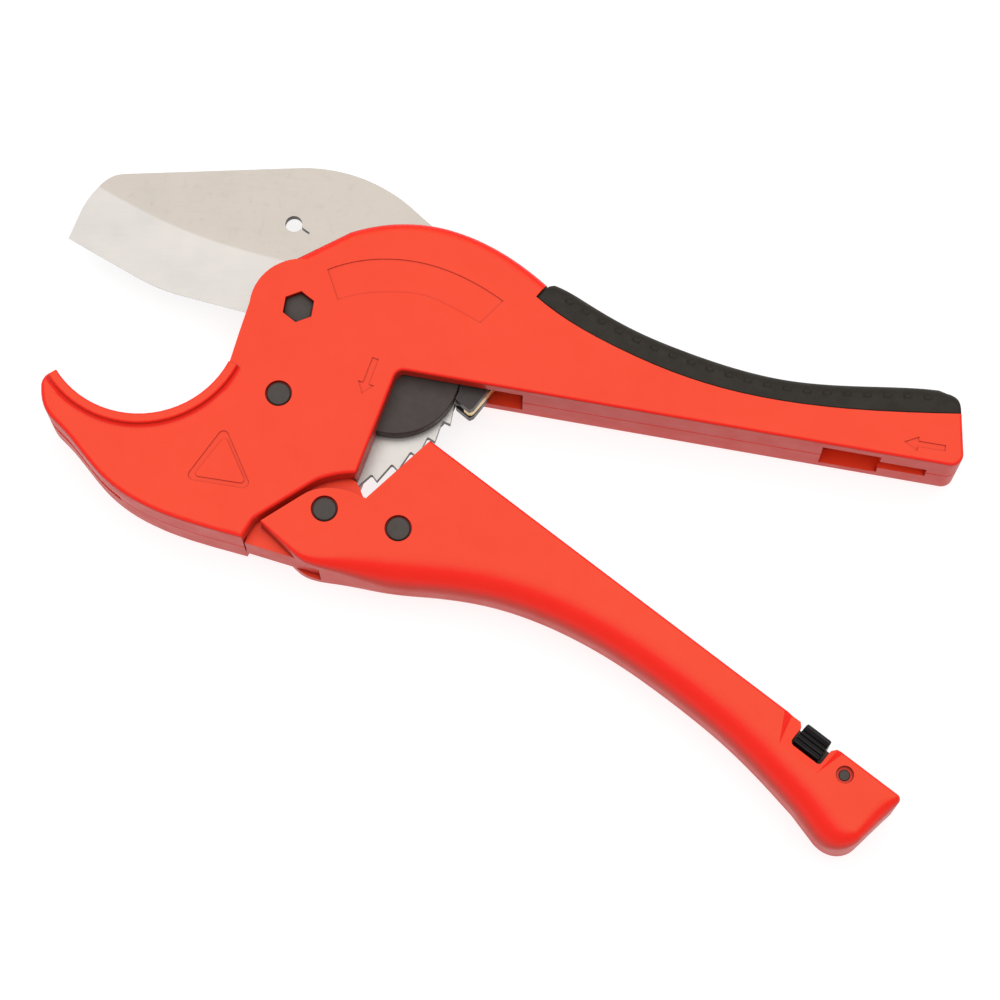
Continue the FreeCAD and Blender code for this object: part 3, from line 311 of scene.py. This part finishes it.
RED = red_enamel()
RUBBER = grip_rubber()
BLADE = blade_steel()
BLACK = dark_steel("black_steel")
GUARD = dark_steel("guard_coating", tone=0.040, rough=(0.46, 0.56))
PAWL = dark_steel("pawl_steel", tone=0.026, rough=(0.30, 0.42))
HOOK = dark_steel("hook_coating", tone=0.085, rough=(0.40, 0.55))
STEEL = bright_metal("ground_steel", (0.52, 0.50, 0.48), 0.36, turn=38)
ZINC = bright_metal("zinc_plate", (0.60, 0.58, 0.55), 0.30)
BRASS = bright_metal("spring_brass", (0.78, 0.58, 0.26), 0.28, turn=45)
KNOB = knob_plastic()

FINISHES = {
    "front_shell": RED, "rear_shell": RED, "lower_handle": RED, "grip_pad": RUBBER, "blade": BLADE,
    "pivot_bolt": BLACK, "pivot_nut": BLACK, "jaw_rivet": BLACK, "handle_pivot_pin": BLACK,
    "drive_pawl_pin": BLACK, "front_guard": GUARD, "rear_guard": GUARD, "stop_pawl": PAWL,
    "drive_pawl": STEEL, "pivot_bushing": STEEL, "blade_washers": STEEL, "latch_pin": BLACK,
    "stop_pawl_pin": STEEL, "latch_hook": HOOK, "shell_screws": ZINC, "handle_spring": STEEL,
    "drive_pawl_spring": STEEL, "latch_spring": STEEL, "stop_pawl_spring": BRASS, "latch_knob": KNOB,
}
for name, node in NODES.items():
    node.data.materials.clear()
    node.data.materials.append(FINISHES[name])


# ---------------------------------------------------------------------------------------------------------
# Curves and meshes
# ---------------------------------------------------------------------------------------------------------
def spline(points, steps, leave=None, arrive=None):
    """A smooth cubic curve through plan points in millimetres, with given or free end directions."""
    knots = np.array(points, float)
    chord = np.linalg.norm(np.diff(knots, axis=0), axis=1)
    count = len(knots)
    system, right = np.zeros((count, count)), np.zeros((count, 2))
    for end, gap, direction, inner in ((0, 0, leave, 1), (count - 1, count - 2, arrive, count - 2)):
        if direction is None:
            system[end, end], system[end, inner] = 2, 1
            right[end] = 3 * (knots[gap + 1] - knots[gap]) / chord[gap]
        else:
            system[end, end] = 1
            right[end] = np.array(direction) / np.linalg.norm(direction)
    for i in range(1, count - 1):
        before, after = chord[i - 1], chord[i]
        system[i, i - 1:i + 2] = after, 2 * (before + after), before
        right[i] = 3 * (after * (knots[i] - knots[i - 1]) / before + before * (knots[i + 1] - knots[i]) / after)
    slopes = np.linalg.solve(system, right)
    made = [knots[0]]
    for i, length in enumerate(chord):
        for t in np.linspace(0, 1, steps + 1)[1:]:
            made.append((2 * t ** 3 - 3 * t ** 2 + 1) * knots[i] + (t ** 3 - 2 * t ** 2 + t) * length * slopes[i] +
                        (3 * t ** 2 - 2 * t ** 3) * knots[i + 1] + (t ** 3 - t ** 2) * length * slopes[i + 1])
    return np.array(made)


def evenly(path, spacing):
    """The same path with points at even distances along it, and each point's distance from its start."""
    gaps = np.linalg.norm(np.diff(path, axis=0), axis=1)
    along = np.concatenate([[0], np.cumsum(gaps)])
    stations = np.linspace(0, along[-1], max(2, int(round(along[-1] / spacing)) + 1))
    return np.array([np.interp(stations, along, path[:, k]) for k in range(path.shape[1])]).T, stations


def headings(path):
    """The unit direction of travel at each point."""
    run = np.gradient(path, axis=0)
    return run / np.linalg.norm(run, axis=1)[:, None]


def skin(name, rings, material):
    """A closed mesh over rings of points (millimetres from the blade pivot), each ring closed on itself."""
    rings = np.array(rings)
    count, around = rings.shape[:2]
    verts = [spot(*p) for p in rings.reshape(-1, 3)]
    faces = []
    for i in range(count - 1):
        for k in range(around):
            following = (k + 1) % around
            faces.append((i * around + k, i * around + following, (i + 1) * around + following, (i + 1) * around + k))
    faces.append(tuple(range(around - 1, -1, -1)))
    faces.append(tuple(range((count - 1) * around, count * around)))
    mesh = bpy.data.meshes.new(name)
    mesh.from_pydata(verts, [], faces)
    shape = bmesh.new()
    shape.from_mesh(mesh)
    bmesh.ops.recalc_face_normals(shape, faces=shape.faces)
    shape.to_mesh(mesh)
    shape.free()
    mesh.materials.append(material)
    piece = bpy.data.objects.new(name, mesh)
    bpy.context.scene.collection.objects.link(piece)
    return piece


def shade_by_angle(piece, degrees=35):
    """Smooth shading with creases where faces meet at more than that angle."""
    mesh = piece.data
    mesh.polygons.foreach_set("use_smooth", [True] * len(mesh.polygons))
    mesh.set_sharp_from_angle(angle=math.radians(degrees))


# ---------------------------------------------------------------------------------------------------------
# Rubber grip
# ---------------------------------------------------------------------------------------------------------
GRIP_SEAT = [(76.4, 3.35), (87.2, -5.12), (99.8, -12.62), (118.9, -21.72), (137.9, -28.12), (156.9, -32.12),
             (175.9, -34.42), (211.5, -36.02)]
GRIP_BACK = [(82.6, 8.3), (93.7, 1.8), (108.7, -7.2), (123.7, -13.9), (138.6, -19.3), (155.5, -23.6),
             (170.0, -25.3), (190.0, -26.1), (205.0, -27.2)]
HALF_MM = HALF / MM
GRIP_END = 211.4
GRIP_CORNER_RADIUS = 4.6
SHOULDER = 4.2               # radius from the side to the back
SHOULDER_SHARE = 0.6         # at most this share of the height
SEAM_LIP = [(0.0, HALF_MM - 0.45), (0.15, HALF_MM - 0.12), (0.42, HALF_MM)]
LEAST_HEIGHT = 3.2           # where a section misses the outline, at the ends
DIMPLES = 20
DIMPLE_FIRST, DIMPLE_LAST = 9.4, 133.2     # along the seat
DIMPLE_LENGTH, DIMPLE_HEIGHT, DIMPLE_DEPTH = 2.4, 1.5, 0.45
DIMPLE_LEVEL = 6             # they are only pressed in beyond this level from the split plane
DIMPLE_SLOPE = 0.35          # how wide the sloping side of a dimple is
DIMPLE_RISE = 0.4            # how far the row lies above the foot of the shoulder
END_EASE, END_REACH = 0.07, 1.2            # how much, and over what length, the ends draw in


def grip_back():
    """The outer outline of the grip in plan, from its raised front lip to its rounded far corner."""
    corner, radius = (GRIP_END, -28.3), GRIP_CORNER_RADIUS
    path = [(80.2, 7.5), (81.2, 8.15)]
    path += list(spline(GRIP_BACK, 24, leave=(0.93, -0.37), arrive=(0.99, -0.14)))
    for angle in range(80, -1, -8):
        turn = math.radians(angle)
        path.append((corner[0] - radius + radius * math.cos(turn), corner[1] - radius + radius * math.sin(turn)))
    path.append((GRIP_END, -36.1))
    return np.array(path, float)


def height_over(foot, normal, outline):
    """Distance from a foot point along a normal to the outline."""
    best = None
    for a, b in zip(outline, outline[1:]):
        run = b - a
        cross = normal[0] * run[1] - normal[1] * run[0]
        if abs(cross) < 1e-9:
            continue
        reach = ((a[0] - foot[0]) * run[1] - (a[1] - foot[1]) * run[0]) / cross
        share = ((a[0] - foot[0]) * normal[1] - (a[1] - foot[1]) * normal[0]) / cross
        if -0.01 <= share <= 1.01 and reach > 0.5 and (best is None or reach < best):
            best = reach
    return best


def section_of_grip(height):
    """Half of the cross-section, from the seam over the shoulder to the split plane: (out from the seat, level)."""
    radius = min(SHOULDER, SHOULDER_SHARE * height)
    straight = height - radius
    side = SEAM_LIP + [(out, HALF_MM) for out in np.linspace(SEAM_LIP[-1][0], straight, 16)[1:]]
    for angle in np.linspace(0, 90, 15)[1:]:
        turn = math.radians(angle)
        side.append((straight + radius * math.sin(turn), HALF_MM - radius * (1 - math.cos(turn))))
    side += [(height, level) for level in np.linspace(HALF_MM - radius, 0, 8)[1:]]
    return np.array(side)


def pressed_in(along, out):
    """How deep the row of moulded dimples is at a place: each is a small shallow pocket."""
    spacing = (DIMPLE_LAST - DIMPLE_FIRST) / (DIMPLES - 1)
    number = min(DIMPLES - 1, max(0, round((along - DIMPLE_FIRST) / spacing)))
    across = abs(along - DIMPLE_FIRST - number * spacing) - DIMPLE_LENGTH / 2
    up = abs(out) - DIMPLE_HEIGHT / 2
    edge = max(across, up)
    return DIMPLE_DEPTH * min(1.0, max(0.0, 0.5 - edge / DIMPLE_SLOPE))


def add_grip():
    """The rubber pad: cross-sections set up square to its seat, with the dimples pressed into both faces."""
    seat, stations = evenly(spline(GRIP_SEAT, 40), 0.3)
    outline = grip_back()
    run = headings(seat)
    length = stations[-1]
    rings = []
    for foot, along, way in zip(seat, stations, run):
        normal = np.array((-way[1], way[0]))
        height = height_over(foot, normal, outline) or LEAST_HEIGHT
        half = section_of_grip(height)
        outward = np.gradient(half, axis=0)
        outward = np.stack([-outward[:, 1], outward[:, 0]], axis=1)
        outward /= np.linalg.norm(outward, axis=1)[:, None]
        row = height - min(SHOULDER, SHOULDER_SHARE * height) + DIMPLE_RISE
        depth = np.array([pressed_in(along, out - row) if level > DIMPLE_LEVEL else 0.0 for out, level in half])
        half = half - outward * depth[:, None]
        end = min(along, length - along)
        half[:, 1] *= 1.0 - END_EASE * max(0.0, 1 - end / END_REACH) ** 2
        ring = [(min(foot[0] + normal[0] * out, GRIP_END), foot[1] + normal[1] * out, level) for out, level in half]
        ring += [(x, y, -level) for x, y, level in reversed(ring[:-1])]
        rings.append(ring)
    grip = skin("grip_rubber_pad", rings, RUBBER)
    shade_by_angle(grip, 50)
    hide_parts("grip_pad")
    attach(grip, "upper_frame")


# ---------------------------------------------------------------------------------------------------------
# Springs: shaped to run between the two bodies that they join
# ---------------------------------------------------------------------------------------------------------
LEAF_CORNER = 1.6            # bend radius of the leaf springs
LEAF_EASE = 0.12             # their broken edges
WIRE, COIL = 0.45, 3.8       # the hairpin's wire and coil radii
TURNS_START, TURNS_END = 215, 215 + 2 * 360 + 100
SHELL_LEG, HANDLE_LEG = np.array((-11.2, -73.4)), np.array((29.0, -84.6))
LEG_LEVEL = 1.0              # each leg lies this far from the split plane


def rounded_path(points, radius, steps=6):
    """A polyline in plan with its corners rounded."""
    knots = [np.array(p, float) for p in points]
    path = [knots[0]]
    for before, corner, after in zip(knots, knots[1:], knots[2:]):
        back, on = before - corner, after - corner
        reach = min(radius, 0.45 * np.linalg.norm(back), 0.45 * np.linalg.norm(on))
        start = corner + back / np.linalg.norm(back) * reach
        end = corner + on / np.linalg.norm(on) * reach
        for t in np.linspace(0, 1, steps):
            path.append((1 - t) ** 2 * start + 2 * t * (1 - t) * corner + t ** 2 * end)
    path.append(knots[-1])
    return np.array(path)


def add_leaf(name, node, points, thickness, half_width, material):
    """A bent strip: the points lie along one face, the thickness is to their left."""
    path, _ = evenly(rounded_path(points, LEAF_CORNER), 0.4)
    run = headings(path)
    ease = LEAF_EASE
    rings = []
    for place, way in zip(path, run):
        left = np.array((-way[1], way[0]))
        corners = []
        for out, level in ((0, -half_width + ease), (0, half_width - ease), (ease, half_width),
                           (thickness - ease, half_width), (thickness, half_width - ease),
                           (thickness, -half_width + ease), (thickness - ease, -half_width), (ease, -half_width)):
            corners.append((place[0] + left[0] * out, place[1] + left[1] * out, level))
        rings.append(corners)
    leaf = skin(name, rings, material)
    shade_by_angle(leaf)
    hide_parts(node)
    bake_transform(leaf)


def add_hairpin():
    """Round wire: two turns round the handle's pivot and a leg to each side."""
    centre = np.array((HANDLE_PIVOT - HUB)[:2]) / MM
    start, finish = math.radians(TURNS_START), math.radians(TURNS_END)
    path = [(*SHELL_LEG, -LEG_LEVEL)]
    for angle in np.linspace(start, finish, 100):
        level = LEG_LEVEL * (2 * (angle - start) / (finish - start) - 1)
        path.append((centre[0] + COIL * math.cos(angle), centre[1] + COIL * math.sin(angle), level))
    path.append((*HANDLE_LEG, LEG_LEVEL))
    path, _ = evenly(np.array(path), 0.5)
    run = headings(path)
    rings = []
    for place, way in zip(path, run):
        side = np.cross(way, (0, 0, 1.0))
        side /= np.linalg.norm(side)
        rise = np.cross(side, way)
        rings.append([tuple(place + WIRE * (math.cos(a) * side + math.sin(a) * rise))
                      for a in np.linspace(0, 2 * math.pi, 13)[:-1]])
    hairpin = skin("hairpin_wire", rings, STEEL)
    shade_by_angle(hairpin, 60)
    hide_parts("handle_spring")
    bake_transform(hairpin)


def add_springs():
    """The two pawl leaves and the handle's hairpin. The latch spring stays inside the handle as it is."""
    add_leaf("stop_pawl_leaf", "stop_pawl_spring",
             [(69.3, -13.2), (68.2, -17.8), (60.2, -26.1), (55.8, -31.5), (54.9, -31.9), (53.4, -30.6)], 0.5, 2.1,
             BRASS)
    add_leaf("drive_pawl_leaf", "drive_pawl_spring", [(76.0, -93.4), (60.0, -88.0), (52.0, -81.5), (43.2, -65.4)],
             0.5, 2.5, STEEL)
    add_hairpin()


# ---------------------------------------------------------------------------------------------------------
# Studio and camera
# ---------------------------------------------------------------------------------------------------------
FLOOR_REACH = 6.0
FLOOR_GAP = 0.0002           # the floor lies just under the tool
FLOOR_GLOW = 0.82            # its own light keeps the background white and the shadows faint
SKY = 0.36
SOFTBOX_PLACE, SOFTBOX_SIZE, SOFTBOX_WATTS = (0, 0.35, 2.0), 3.0, 50
LEAN = 16                    # degrees off straight down
FIELD = 18.83                # degrees across the picture
AWAY = 0.950
AIM = spot(64.70, -64.60, HALF_MM)


def add_softbox(name, place, target, size, watts):
    """A square light aimed at a target."""
    light = bpy.data.lights.new(name, "AREA")
    light.shape = "SQUARE"
    light.size = size
    light.energy = watts
    lamp = bpy.data.objects.new(name, light)
    lamp.location = place
    lamp.rotation_euler = (Vector(target) - Vector(place)).to_track_quat("-Z", "Y").to_euler()
    bpy.context.scene.collection.objects.link(lamp)


def add_floor():
    """A plain pale floor, wide enough to fill the picture."""
    mesh = bpy.data.meshes.new("floor")
    reach = FLOOR_REACH
    mesh.from_pydata([(-reach, -reach, 0), (reach, -reach, 0), (reach, reach, 0), (-reach, reach, 0)], [],
                     [(0, 1, 2, 3)])
    floor = bpy.data.objects.new("floor", mesh)
    floor.location.z = CAD_LOW.z - FLOOR_GAP
    bpy.context.scene.collection.objects.link(floor)
    paper = Finish("pale_floor", Specular_IOR_Level=0.2)
    paper.colour(paper.mix(paper.noise(300, detail=1), (0.24, 0.24, 0.24), (0.26, 0.26, 0.26)))
    paper.surface.inputs["Roughness"].default_value = 0.8
    paper.surface.inputs["Emission Color"].default_value = (1, 1, 1, 1)
    paper.surface.inputs["Emission Strength"].default_value = FLOOR_GLOW
    mesh.materials.append(paper.material)


def add_studio():
    """An even pale sky, the floor and one large soft light overhead."""
    scene = bpy.context.scene
    world = bpy.data.worlds.new("studio")
    world.use_nodes = True
    world.node_tree.nodes["Background"].inputs["Color"].default_value = (1, 1, 1, 1)
    world.node_tree.nodes["Background"].inputs["Strength"].default_value = SKY
    scene.world = world
    scene.view_settings.view_transform = "Standard"
    add_floor()
    add_softbox("overhead_light", SOFTBOX_PLACE, (0, 0, 0), SOFTBOX_SIZE, SOFTBOX_WATTS)


def add_camera():
    """The tool is seen from nearly above, tilted towards its lower handle."""
    lean = math.radians(LEAN)
    data = bpy.data.cameras.new("camera")
    data.sensor_width = 36
    data.lens = data.sensor_width / (2 * math.tan(math.radians(FIELD / 2)))
    data.clip_end = 20
    camera = bpy.data.objects.new("camera", data)
    camera.location = AIM + AWAY * Vector((0, -math.sin(lean), math.cos(lean)))
    camera.rotation_euler = (lean, 0, 0)
    bpy.context.scene.collection.objects.link(camera)
    bpy.context.scene.camera = camera


add_grip()
add_springs()
add_studio()
add_camera()
